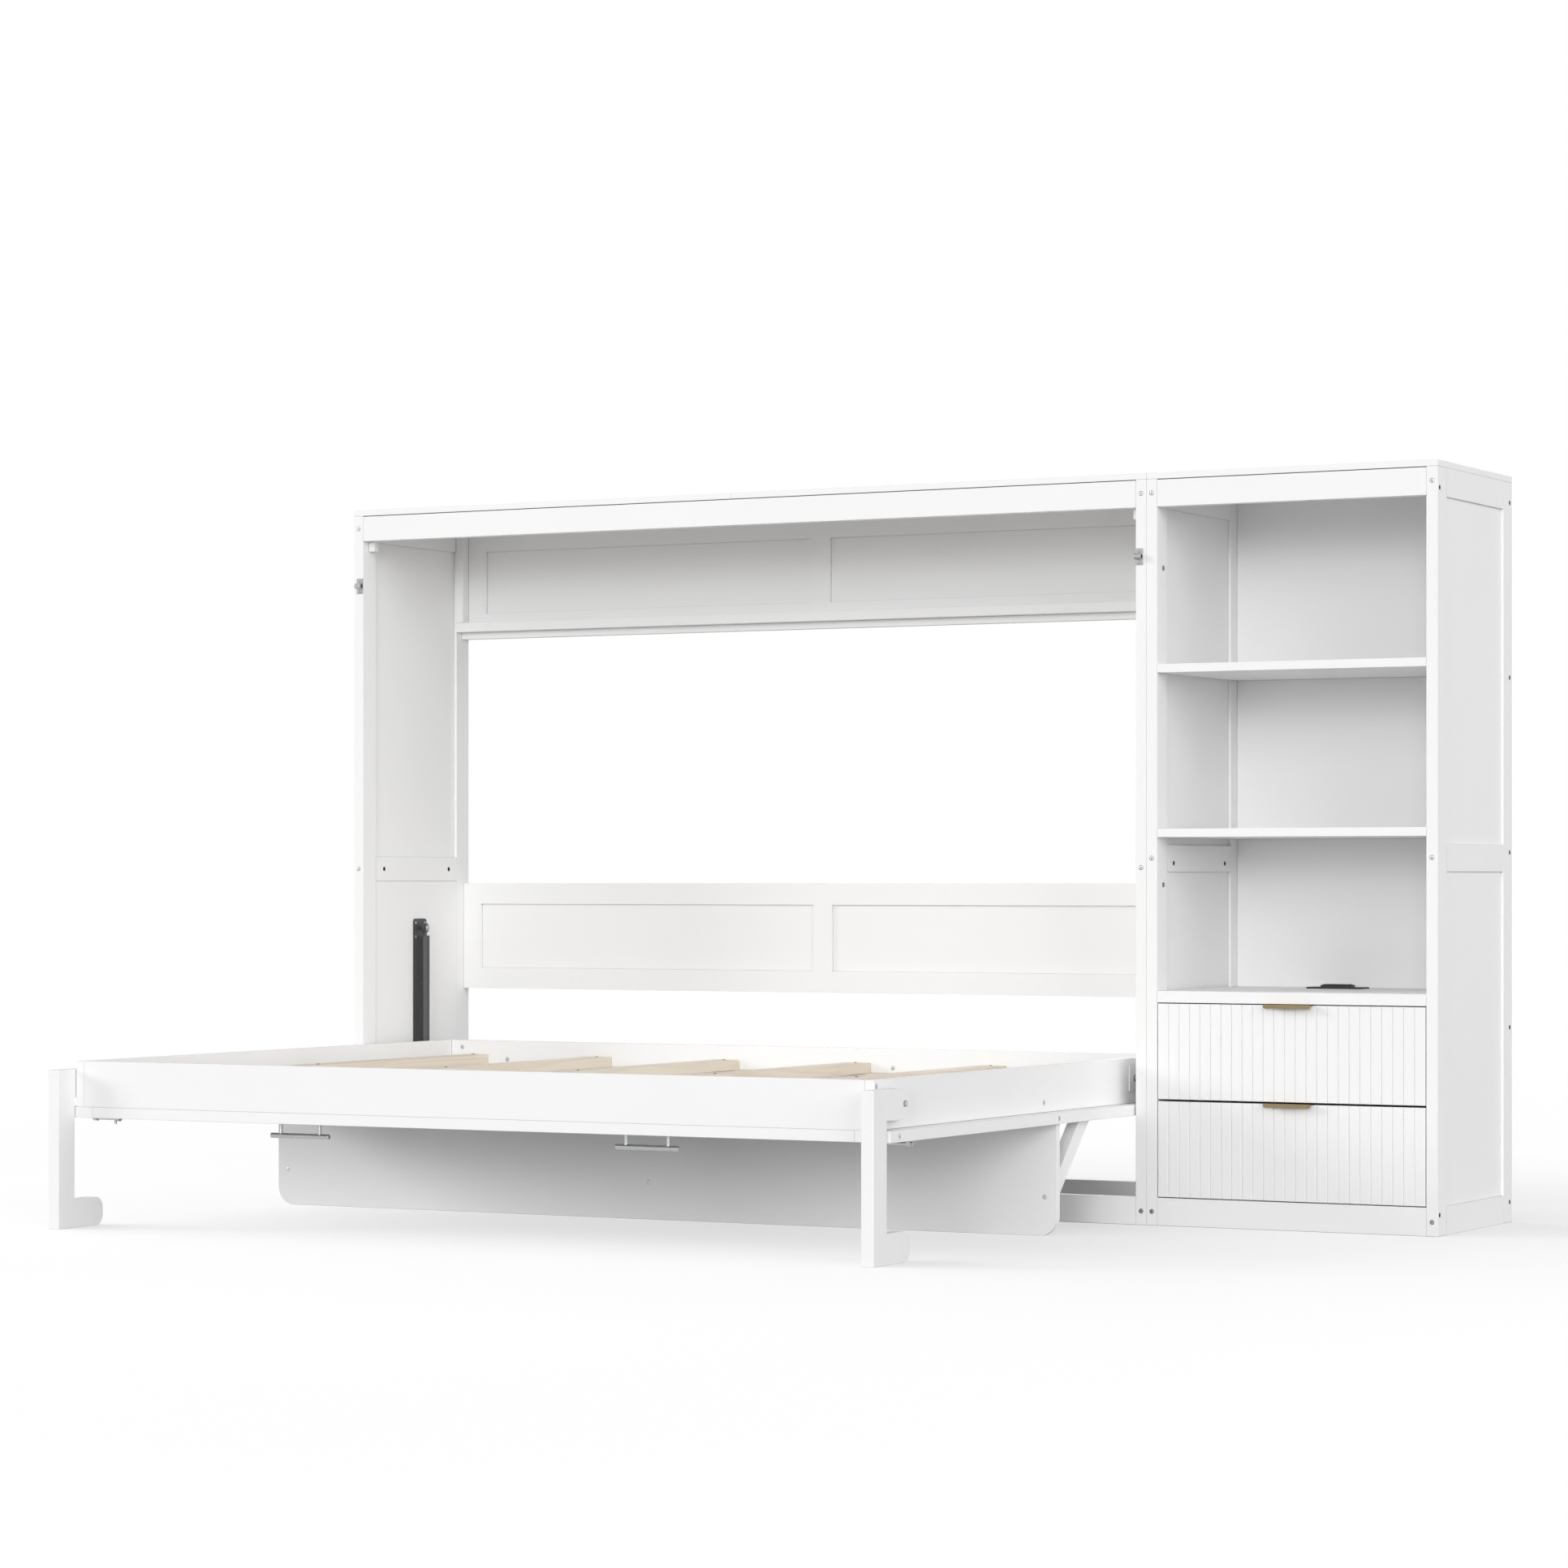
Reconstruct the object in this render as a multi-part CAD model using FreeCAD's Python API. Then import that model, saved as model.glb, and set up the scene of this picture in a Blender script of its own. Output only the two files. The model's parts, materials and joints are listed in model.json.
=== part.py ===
import FreeCAD, Part
import math
import os

# A wall bed that folds down sideways, joined to a bookcase with two drawers.
# Millimetres, +Z up, with the front towards -Y.
# The origin is on the floor, under the middle of the open bed and cabinet together.

# Cabinet
side_height = 1740.0
depth = 503.0
bed_bay_width = 2219.0
case_width = 716.0
top_thickness = 15.0
frame_thickness = 27.0
stile_width = 60.0
rail_height = 65.0
mid_rail_height = 62.0
bed_mid_rail_share = 0.4615
case_mid_rail_share = 0.4741
infill_thickness = 12.0
lower_infill_thickness = 19.0
joint_line = 1.2
fascia_thickness = 27.0
fascia_reveal = 2.0
base_back_thickness = 22.0
eased_edge = 0.8

# Back of the bed bay: a ledge under the top and a headboard panel above the mattress
upper_panel_height = 277.0
ledge_thickness = 25.0
ledge_depth = 28.0
ledge_end_thickness = 22.0
upper_panel_thickness = 35.0
upper_panel_bottom_rail = 49.0
upper_panel_drop = 17.5
panel_pocket = 7.0
back_stile_width = 55.0
mullion_width = 54.0
headboard_clearance = 132.0
headboard_height = 279.0
headboard_thickness = 25.0
headboard_rail = 55.0
wall_hole_radius = 4.0
wall_hole_share = 0.72
wall_hole_drop = 18.0

# Bed frame and the door under it
pivot_back = 84.0
bed_side_space = 42.5
bed_rail_thickness = 22.0
bed_rail_height = 106.0
stand_height = 255.0
door_thickness = 25.0
door_member_width = 85.0
door_pocket = 8.0
door_inner_pocket = 4.0
door_side_gap = 4.0
door_top_gap = 4.0
door_foot_gap = 8.0
door_tail = 8.0
mid_line_share = 0.331

# Slats and what carries them
slat_count = 6
slat_margin = 47.5
slat_width = 66.0
slat_thickness = 25.0
slat_drop = 36.0
slat_end_gap = 2.0
cleat_width = 22.0
cleat_height = 25.0
beam_width = 40.0

# Stand panel under the door, with its diagonal braces
stand_offset = 13.0
stand_inset = 13.5
stand_thickness = 18.0
stand_corner_radius = 44.0
brace_thickness = 27.0
brace_width = 40.0
brace_base = 60.0

# Folding legs
leg_width = 60.0
leg_thickness = 30.0
leg_top_drop = 19.0
leg_span = 167.0
leg_tab_height = 65.0
leg_foot_height = 66.0
leg_end_radius = 25.0
leg_edge_round = 2.5
leg_front_gap = 4.0
leg_rail_gap = 2.0
leg_pivot_inset = 23.0
leg_pivot_radius = 4.0
leg_pivot_head_radius = 6.5
leg_pivot_head_thickness = 3.0
leg_pivot_bite = 16.0

# Pivots of the bed, and the gas struts
plate_thickness = 3.0
pivot_plate_size = 70.0
pivot_pin_radius = 8.0
pivot_pin_bite = 15.0
running_clearance = 0.05
free_clearance = 0.3
hinge_plate_height = 60.0
hinge_plate_margin = 30.0
strut_back = 263.0
strut_rise = 341.0
strut_axis_inset = 19.0
strut_tube_radius = 11.0
strut_tube_wall = 2.0
strut_rod_show = 40.0
strut_neck_length = 20.0
strut_end_thickness = 10.0
strut_rod_radius = 4.0
strut_piston_length = 12.0
strut_eye_radius = 12.0
strut_stud_radius = 5.0
strut_boss_radius = 9.0
bracket_width = 60.0
bracket_foot = 21.0
bracket_rise = 24.0
bracket_round = 8.0

# Sliding bolts on the door, keepers on the posts, and stop blocks
latch_inset = 111.0
latch_width = 38.0
latch_margin = 7.0
latch_inner_margin = 4.0
latch_plate_thickness = 2.0
latch_rod_radius = 4.0
latch_rod_gap = 0.5
latch_guide_length = 10.0
latch_guide_wall = 2.0
latch_tip_inset = 3.0
latch_knob_radius = 3.0
latch_knob_height = 9.0
latch_travel = 20.0
keeper_cover = 5.0
keeper_clearance = 0.6
stop_width = 18.0
stop_depth = 18.0
stop_height = 25.0
stop_gap = 1.0

# Bar handles on the door
handle_share = 0.4375
handle_inset = 61.0
handle_length = 159.0
handle_spacing = 106.0
handle_stand_off = 30.0
handle_bar_radius = 6.0
handle_post_radius = 4.5
handle_round = 1.5

# Bookcase
case_shelf_thickness = 20.0
lower_bay_share = 0.329
middle_bay_share = 0.334
deck_base = 520.0
deck_thickness = 27.0
case_back_thickness = 12.0
case_back_inset = 10.0

# Power outlet let into the deck
outlet_length = 140.0
outlet_depth = 60.0
outlet_flange = 4.0
outlet_rise = 5.0
outlet_block_length = 75.0
outlet_block_depth = 40.0
outlet_body_length = 116.0
outlet_body_depth = 46.0
outlet_body_height = 34.0
outlet_offset = 39.0
outlet_from_back = 103.0
outlet_round = 6.0

# Drawers
drawer_gap = 2.5
drawer_front_thickness = 18.0
drawer_flutes = 25
flute_width = 4.0
flute_depth = 2.5
drawer_headroom = 55.5
drawer_back_gap = 38.0
drawer_box_lift = 22.0
drawer_wall = 12.0
drawer_bottom = 6.0
drawer_side_gap = 13.0
runner_thickness = 2.0
runner_height = 30.0
runner_ledge = 23.0
runner_setback = 24.0
pull_length = 116.0
pull_thickness = 1.4
pull_reach = 20.0
pull_lip = 9.0
pull_seat = 14.0
pull_round = 5.0

# Fasteners
bolt_head_radius = 5.5
bolt_head_height = 3.0
bolt_radius = 3.0
bolt_clearance = 0.2
bolt_recess = 0.3
socket_radius = 2.4
socket_depth = 2.0
bolt_bite = 30.0
screw_bite = 40.0
short_bite = 14.0
side_screw_margin = 48.0
side_screw_rows = 5
mid_bolt_inset = 38.0
corner_bolt_drop = 13.0
rail_bolt_places = 4
rail_bolt_share = 0.2712
rail_bolt_drop = 48.0
end_bolt_inset = 33.0
end_bolt_drop = 18.0
overrun = 5.0

# Places worked out from the sizes above
total_width = bed_bay_width + case_width
fascia_base = side_height - rail_height
fascia_top = side_height - fascia_reveal
closed_top = fascia_base - door_top_gap
bed_reach = closed_top - stand_height - 2 * pivot_back
leg_reach = bed_reach + leg_front_gap + leg_width
left = -total_width / 2
right = total_width / 2
front = (leg_reach - depth) / 2
back = front + depth
bed_x = left + bed_bay_width / 2
case_left = left + bed_bay_width
case_x = case_left + case_width / 2
bay_half = bed_bay_width / 2 - frame_thickness
case_half = case_width / 2 - frame_thickness
bed_mid_rail_base = side_height * bed_mid_rail_share
case_mid_rail_base = side_height * case_mid_rail_share
pivot_y = front + pivot_back
pivot_z = stand_height + pivot_back
door_half = bay_half - door_side_gap
door_top = stand_height + door_thickness
door_front = front - bed_reach
door_back = pivot_y + pivot_z - rail_height - door_foot_gap
bed_half = bay_half - bed_side_space
bed_back = door_back - door_tail
rail_top = door_top + bed_rail_height
mid_line = front - bed_reach * mid_line_share
slat_top = rail_top - slat_drop
slat_base = slat_top - slat_thickness
stand_front = mid_line + stand_offset
brace_offset = door_half - door_member_width / 2
brace_rise = brace_width * math.sqrt(2)
leg_height = rail_top - leg_top_drop
ledge_base = side_height - upper_panel_height
ledge_front = back - upper_panel_thickness - ledge_depth
headboard_base = rail_top + headboard_clearance
wall_hole_spacing = bed_bay_width * wall_hole_share
latch_y = door_front + latch_inset
latch_z = stand_height - latch_plate_thickness - latch_rod_gap - latch_rod_radius
latch_length = door_member_width - latch_margin - latch_inner_margin
keeper_width = latch_travel - latch_tip_inset - door_side_gap + keeper_cover
strut_y = front + strut_back
strut_x = bed_x + bay_half - strut_axis_inset
strut_top = pivot_z + strut_rise
handle_offset = bed_half * handle_share
deck_top = deck_base + deck_thickness
bays_height = fascia_base - deck_top - 2 * case_shelf_thickness
lower_shelf_base = deck_top + bays_height * lower_bay_share
upper_shelf_base = lower_shelf_base + case_shelf_thickness + bays_height * middle_bay_share
case_back_front = back - case_back_inset - case_back_thickness
drawer_split = (rail_height + deck_base) / 2
drawer_box_depth = case_back_front - drawer_back_gap - front - drawer_front_thickness
drawer_box_height = deck_base - drawer_split - drawer_box_lift - drawer_headroom

parts = {}


def vec(x, y, z):
    return FreeCAD.Vector(x, y, z)


def box(low, high):
    size = vec(*high) - vec(*low)
    return Part.makeBox(size.x, size.y, size.z, vec(*low))


def board(low, high):
    """A sawn board with its sharp edges taken off."""
    raw = box(low, high)
    return raw.makeChamfer(eased_edge, raw.Edges)


def rod(radius, start, end):
    along = vec(*end) - vec(*start)
    return Part.makeCylinder(radius, along.Length, vec(*start), along)


def prism(points, along):
    """A flat outline pushed along a vector."""
    corners = [vec(*point) for point in points]
    face = Part.Face(Part.makePolygon(corners + corners[:1]))
    return face.extrude(vec(*along))


def lengthwise_edges(shape, axis, places):
    """The edges along one axis that lie at the given places in the other two."""
    others = [i for i in range(3) if i != axis]
    found = []
    for edge in shape.Edges:
        ends = [vertex.Point for vertex in edge.Vertexes]
        if len(ends) < 2 or any(abs(ends[0][i] - ends[1][i]) > Part.Precision.confusion() for i in others):
            continue
        for place in places:
            if all(abs(ends[0][i] - p) < eased_edge for i, p in zip(others, place)):
                found.append(edge)
    return found


def both_sides(shape):
    """A piece of the bed's right side and its mirror image on the left, left first."""
    return [shape.mirror(vec(bed_x, 0, 0), vec(1, 0, 0)), shape]


def add(name, *shapes):
    parts[name] = list(shapes)


def drill(names, cutter):
    for name in names:
        parts[name] = [shape.cut(cutter) for shape in parts[name]]


def bolt(place, inward, length, names):
    """A socket-head bolt sunk flush at a place, with its hole cut in the named pieces."""
    start = vec(*place)
    way = vec(*inward)
    top = start + way * bolt_recess
    seat = start + way * (bolt_recess + bolt_head_height)
    head = Part.makeCylinder(bolt_head_radius, bolt_head_height, top, way)
    shank = Part.makeCylinder(bolt_radius, length, seat, way)
    socket = Part.makeCylinder(socket_radius, socket_depth, top, way)
    bore = Part.makeCylinder(bolt_head_radius + bolt_clearance, bolt_recess + bolt_head_height, start, way)
    hole = Part.makeCylinder(bolt_radius + bolt_clearance, length + bolt_clearance, seat, way)
    drill(names, bore.fuse(hole))
    return head.fuse(shank).cut(socket).removeSplitter()


def side_frame(name, x0, mid_base, solid_low_side=0):
    """Two stiles and the routed board between them. The lower field is flush on the solid side, +1 or -1."""
    x1 = x0 + frame_thickness
    add(name + "_stiles",
        board((x0, front, 0), (x1, front + stile_width, side_height)),
        board((x0, back - stile_width, 0), (x1, back, side_height)))
    y0 = front + stile_width
    y1 = back - stile_width
    panel = box((x0, y0, 0), (x1, y1, side_height))
    fields = [(mid_base + mid_rail_height, side_height - rail_height, 0),
              (rail_height, mid_base, solid_low_side)]
    for low, high, flush in fields:
        thickness = lower_infill_thickness if flush else infill_thickness
        spare = frame_thickness - thickness
        inner = {0: spare / 2, 1: spare, -1: 0}[flush]
        outer = spare - inner
        if inner:
            panel = panel.cut(box((x0 - overrun, y0 - overrun, low), (x0 + inner, y1 + overrun, high)))
        if outer:
            panel = panel.cut(box((x1 - outer, y0 - overrun, low), (x1 + overrun, y1 + overrun, high)))
        if flush:
            face = x1 if flush > 0 else x0
            panel = panel.cut(box((face - joint_line, y0 - overrun, high - joint_line),
                                  (face + joint_line, y1 + overrun, high)))
    add(name + "_panel", panel)


def framed_back(low, high, bottom_rail, top_rail, end_stile):
    """A back panel with two sunk fields either side of a middle mullion, seen from the front."""
    panel = box(low, high)
    x0, y0, z0 = low
    x1, y1, z1 = high
    for field in ((x0 + end_stile, bed_x - mullion_width / 2), (bed_x + mullion_width / 2, x1 - end_stile)):
        low_corner = (field[0], y0 - overrun, z0 + bottom_rail)
        high_corner = (field[1], y0 + panel_pocket, z1 - top_rail)
        panel = panel.cut(box(low_corner, high_corner))
    return panel


def bed_bay():
    side_frame("left_side", left, bed_mid_rail_base, 1)
    side_frame("right_side", case_left - frame_thickness, bed_mid_rail_base, -1)
    top = side_height + top_thickness
    add("top_board_left", board((left, front, side_height), (bed_x, back, top)))
    add("top_board_right", board((bed_x, front, side_height), (case_left, back, top)))
    x0 = bed_x - bay_half
    x1 = bed_x + bay_half
    add("top_fascia", board((x0, front, fascia_base), (x1, front + fascia_thickness, fascia_top)))
    panel_front = back - upper_panel_thickness
    upper = framed_back((x0, panel_front, ledge_base - upper_panel_drop), (x1, back, side_height),
                        upper_panel_drop + upper_panel_bottom_rail, rail_height,
                        ledge_end_thickness + back_stile_width)
    for side in (-1, 1):
        x = bed_x + side * wall_hole_spacing / 2
        z = side_height - wall_hole_drop
        upper = upper.cut(rod(wall_hole_radius, (x, panel_front - overrun, z), (x, back + overrun, z)))
    add("upper_back_panel", upper)
    ledge_top = ledge_base + ledge_thickness
    add("ledge_shelf", board((x0, ledge_front, ledge_base), (x1, panel_front, ledge_top)))
    ledge_end = board((x1 - ledge_end_thickness, ledge_front, ledge_top), (x1, panel_front, side_height))
    add("ledge_ends", *both_sides(ledge_end))
    add("headboard_panel", framed_back((x0, back - headboard_thickness, headboard_base),
                                       (x1, back, headboard_base + headboard_height),
                                       headboard_rail, headboard_rail, back_stile_width))
    add("base_rails",
        board((x0, front, 0), (x1, front + fascia_thickness, rail_height)),
        board((x0, back - base_back_thickness, 0), (x1, back, rail_height)))


def bed_frame():
    x0 = bed_x - bed_half + bed_rail_thickness
    x1 = bed_x + bed_half - bed_rail_thickness
    side_rail = board((x1, door_front, door_top), (bed_x + bed_half, bed_back, rail_top))
    left_rail, right_rail = both_sides(side_rail)
    add("bed_left_rail", left_rail)
    add("bed_right_rail", right_rail)
    inner_front = door_front + bed_rail_thickness
    inner_back = bed_back - bed_rail_thickness
    add("bed_front_rail", board((x0, door_front, door_top), (x1, inner_front, rail_top)))
    add("bed_back_rail", board((x0, inner_back, door_top), (x1, bed_back, rail_top)))
    add("slat_cleats",
        board((x0, inner_front, slat_base - cleat_height), (x1, inner_front + cleat_width, slat_base)),
        board((x0, inner_back - cleat_width, slat_base - cleat_height), (x1, inner_back, slat_base)))
    beam_half = beam_width / 2
    add("center_beam", board((x0, mid_line - beam_half, door_top), (x1, mid_line + beam_half, slat_base)))
    slats = []
    slat_front = inner_front + slat_end_gap
    slat_back = inner_back - slat_end_gap
    slat_pitch = (x1 - x0 - 2 * slat_margin - slat_width) / (slat_count - 1)
    for i in range(slat_count):
        x = x0 + slat_margin + i * slat_pitch
        slats.append(board((x, slat_front, slat_base), (x + slat_width, slat_back, slat_top)))
    add("bed_slats", *slats)


def door():
    add("door_stiles", *both_sides(board((bed_x + door_half - door_member_width, door_front, stand_height),
                                         (bed_x + door_half, door_back, door_top))))
    x0 = bed_x - door_half + door_member_width
    x1 = bed_x + door_half - door_member_width
    half = door_member_width / 2
    rows = [(door_front, door_front + door_member_width),
            (mid_line - half, mid_line + half),
            (door_back - door_member_width, door_back)]
    members = [board((x0, low, stand_height), (x1, high, door_top)) for low, high in rows]
    infills = []
    infill_base = stand_height + door_pocket
    for (_, low), (high, _) in zip(rows, rows[1:]):
        members.append(board((bed_x - half, low, stand_height), (bed_x + half, high, door_top)))
        for start, end in ((x0, bed_x - half), (bed_x + half, x1)):
            infills.append(box((start, low, infill_base), (end, high, door_top - door_inner_pocket)))
    add("door_rails", *members)
    add("door_infills", *infills)


def stand():
    y1 = stand_front + stand_thickness
    x0 = bed_x - door_half + stand_inset
    x1 = bed_x + door_half - stand_inset
    panel = box((x0, stand_front, 0), (x1, y1, stand_height))
    panel = panel.makeFillet(stand_corner_radius, lengthwise_edges(panel, 1, [(x0, 0), (x1, 0)]))
    add("stand_panel", panel)
    reach = stand_height - brace_base
    outline = [(y1, brace_base), (y1, brace_base + brace_rise),
               (y1 + reach - brace_rise, stand_height), (y1 + reach, stand_height)]
    braces = []
    for offset in (-brace_offset, 0, brace_offset):
        x = bed_x + offset - brace_thickness / 2
        braces.append(prism([(x, y, z) for y, z in outline], (brace_thickness, 0, 0)))
    add("stand_braces", *braces)


def legs():
    x0 = bed_x + bed_half + leg_rail_gap
    x1 = x0 + leg_thickness
    y0 = door_front - leg_front_gap - leg_width
    y1 = y0 + leg_width
    y2 = y0 + leg_span
    tab_base = leg_height - leg_tab_height
    outline = [(y0, 0), (y2, 0), (y2, leg_foot_height), (y1, leg_foot_height),
               (y1, tab_base), (y2, tab_base), (y2, leg_height), (y0, leg_height)]
    leg = prism([(x0, y, z) for y, z in outline], (leg_thickness, 0, 0))
    round_places = [(y2, 0), (y2, leg_foot_height), (y2, tab_base), (y2, leg_height)]
    leg = leg.makeFillet(leg_end_radius, lengthwise_edges(leg, 0, round_places))
    leg = leg.makeFillet(leg_edge_round, lengthwise_edges(leg, 2, [(x0, y0), (x1, y0)]))
    y = y2 - leg_pivot_inset
    z = leg_height - leg_tab_height / 2
    inner = bed_x + bed_half - leg_pivot_bite
    leg = leg.cut(rod(leg_pivot_radius + running_clearance, (x0 - overrun, y, z), (x1 + overrun, y, z)))
    left_leg, right_leg = both_sides(leg)
    add("left_leg", left_leg)
    add("right_leg", right_leg)
    pin = rod(leg_pivot_radius, (inner, y, z), (x1 + free_clearance, y, z))
    head_start = x1 + free_clearance
    head = rod(leg_pivot_head_radius, (head_start, y, z), (head_start + leg_pivot_head_thickness, y, z))
    hole = rod(leg_pivot_radius + running_clearance, (inner - bolt_clearance, y, z), (x0, y, z))
    for cutter in both_sides(hole):
        drill(["bed_left_rail", "bed_right_rail"], cutter)
    return both_sides(pin.fuse(head).removeSplitter())


def pivots():
    face = bed_x + bay_half
    half = pivot_plate_size / 2
    outer = bed_x + bed_half
    plate = box((face - plate_thickness, pivot_y - half, pivot_z - half),
                (face, pivot_y + half, pivot_z + half))
    pin = rod(pivot_pin_radius, (outer - pivot_pin_bite, pivot_y, pivot_z), (face, pivot_y, pivot_z))
    add("pivot_plates", *both_sides(plate.fuse(pin).removeSplitter()))
    hinge_half = hinge_plate_height / 2
    hinge = box((outer, pivot_y - hinge_plate_margin, pivot_z - hinge_half),
                (outer + plate_thickness, strut_y + hinge_plate_margin, pivot_z + hinge_half))
    boss_end = strut_x - strut_rod_radius - free_clearance
    boss = rod(strut_boss_radius, (outer, strut_y, pivot_z), (boss_end, strut_y, pivot_z))
    bore_start = outer - pivot_pin_bite - running_clearance
    bore = rod(pivot_pin_radius + running_clearance, (bore_start, pivot_y, pivot_z), (face, pivot_y, pivot_z))
    add("hinge_plates", *both_sides(hinge.fuse(boss).cut(bore).removeSplitter()))
    for cutter in both_sides(bore):
        drill(["bed_left_rail", "bed_right_rail"], cutter)


def struts():
    face = bed_x + bay_half
    half = bracket_width / 2
    top = strut_top + bracket_rise
    plate = box((face - plate_thickness, strut_y - half, pivot_z + bracket_foot), (face, strut_y + half, top))
    top_corners = [(strut_y - half, top), (strut_y + half, top)]
    plate = plate.makeFillet(bracket_round, lengthwise_edges(plate, 0, top_corners))
    stud_end = strut_x - strut_rod_radius - free_clearance
    stud = rod(strut_stud_radius, (stud_end, strut_y, strut_top), (face, strut_y, strut_top))
    add("strut_brackets", *both_sides(plate.fuse(stud).removeSplitter()))
    tube_top = strut_top - strut_neck_length
    tube_base = pivot_z + strut_rod_show
    bore_radius = strut_tube_radius - strut_tube_wall
    piston_top = tube_top - strut_end_thickness - free_clearance
    piston_base = piston_top - strut_piston_length

    def upright(radius, low, high):
        return rod(radius, (strut_x, strut_y, low), (strut_x, strut_y, high))

    def crosswise(radius, z):
        return rod(radius, (strut_x - strut_rod_radius, strut_y, z), (strut_x + strut_rod_radius, strut_y, z))

    tube = upright(strut_tube_radius, tube_base, tube_top)
    tube = tube.fuse(upright(strut_rod_radius, tube_top, strut_top))
    tube = tube.fuse(crosswise(strut_eye_radius, strut_top))
    tube = tube.cut(crosswise(strut_stud_radius + running_clearance, strut_top))
    guide_top = tube_base + strut_end_thickness
    tube = tube.cut(upright(bore_radius, guide_top, tube_top - strut_end_thickness))
    tube = tube.cut(upright(strut_rod_radius + running_clearance, tube_base - overrun, guide_top))
    piston = upright(strut_rod_radius, pivot_z, piston_top)
    piston = piston.fuse(upright(bore_radius - free_clearance, piston_base, piston_top))
    piston = piston.fuse(crosswise(strut_eye_radius, pivot_z))
    for name, shape in (("strut_cylinder", tube), ("strut_rod", piston)):
        left_one, right_one = both_sides(shape.removeSplitter())
        add("left_" + name, left_one)
        add("right_" + name, right_one)


def latches():
    x1 = bed_x + door_half - latch_margin
    x0 = x1 - latch_length
    half = latch_width / 2
    plate_base = stand_height - latch_plate_thickness
    body = box((x0, latch_y - half, plate_base), (x1, latch_y + half, stand_height))
    guide_half = latch_rod_radius + latch_rod_gap + latch_guide_wall
    bore_radius = latch_rod_radius + running_clearance
    for start in (x0, x1 - latch_guide_length):
        end = start + latch_guide_length
        guide = box((start, latch_y - guide_half, latch_z), (end, latch_y + guide_half, plate_base))
        crown = rod(guide_half, (start, latch_y, latch_z), (end, latch_y, latch_z))
        body = body.fuse(guide).fuse(crown)
    body = body.cut(rod(bore_radius, (x0 - overrun, latch_y, latch_z), (x1 + overrun, latch_y, latch_z)))
    add("latch_bodies", *both_sides(body.removeSplitter()))
    tip = bed_x + door_half - latch_tip_inset
    bolt_rod = rod(latch_rod_radius, (x0 - latch_tip_inset, latch_y, latch_z), (tip, latch_y, latch_z))
    knob_x = x0 + latch_guide_length + latch_knob_radius + free_clearance
    knob_end = latch_z - latch_rod_radius - latch_knob_height
    knob = rod(latch_knob_radius, (knob_x, latch_y, latch_z), (knob_x, latch_y, knob_end))
    left_bolt, right_bolt = both_sides(bolt_rod.fuse(knob).removeSplitter())
    add("left_latch_bolt", left_bolt)
    add("right_latch_bolt", right_bolt)
    keeper_x = bed_x + bay_half
    keeper_z = closed_top - latch_inset
    plate_back = front - latch_plate_thickness
    bar_y = front - (stand_height - latch_z)
    keeper_half = guide_half + keeper_clearance
    keeper_end = keeper_x + keeper_width
    keeper = box((keeper_x, plate_back, keeper_z - half), (keeper_end, front, keeper_z + half))
    keeper = keeper.fuse(box((keeper_x, bar_y, keeper_z - keeper_half),
                             (keeper_end, plate_back, keeper_z + keeper_half)))
    crown = rod(keeper_half, (keeper_x, bar_y, keeper_z), (keeper_end, bar_y, keeper_z))
    keeper = keeper.fuse(crown.common(box((keeper_x, bar_y - keeper_half, keeper_z - keeper_half),
                                          (keeper_end, bar_y, keeper_z + keeper_half))))
    keeper = keeper.cut(rod(latch_rod_radius + keeper_clearance, (keeper_x - overrun, bar_y, keeper_z),
                            (keeper_end + overrun, bar_y, keeper_z)))
    add("latch_keepers", *both_sides(keeper.removeSplitter()))
    stop_front = front + door_thickness + stop_gap
    stop = board((keeper_x - stop_width, stop_front, fascia_base - stop_height),
                 (keeper_x, stop_front + stop_depth, fascia_base))
    add("stop_blocks", *both_sides(stop))


def handles():
    y = door_front + handle_inset
    z = stand_height - handle_stand_off
    x = bed_x + handle_offset
    bar = rod(handle_bar_radius, (x - handle_length / 2, y, z), (x + handle_length / 2, y, z))
    rims = [edge for edge in bar.Edges if len(edge.Vertexes) == 1]
    bar = bar.makeChamfer(handle_round, rims)
    for side in (-1, 1):
        post_x = x + side * handle_spacing / 2
        bar = bar.fuse(rod(handle_post_radius, (post_x, y, z), (post_x, y, stand_height)))
    add("pull_handles", *both_sides(bar.removeSplitter()))


def bookcase():
    side_frame("case_left", case_left, case_mid_rail_base)
    side_frame("case_right", right - frame_thickness, case_mid_rail_base)
    x0 = case_x - case_half
    x1 = case_x + case_half
    add("case_top_board", board((case_left, front, side_height), (right, back, side_height + top_thickness)))
    add("case_fascia", board((x0, front, fascia_base), (x1, front + fascia_thickness, fascia_top)))
    add("case_base_rail", board((x0, front, 0), (x1, front + fascia_thickness, rail_height)))
    case_back_end = case_back_front + case_back_thickness
    add("case_back_panel", box((x0, case_back_front, 0), (x1, case_back_end, side_height)))
    for name, base, thickness in (("case_upper_shelf", upper_shelf_base, case_shelf_thickness),
                                  ("case_lower_shelf", lower_shelf_base, case_shelf_thickness),
                                  ("drawer_deck", deck_base, deck_thickness)):
        add(name, board((x0, front, base), (x1, case_back_front, base + thickness)))


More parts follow.
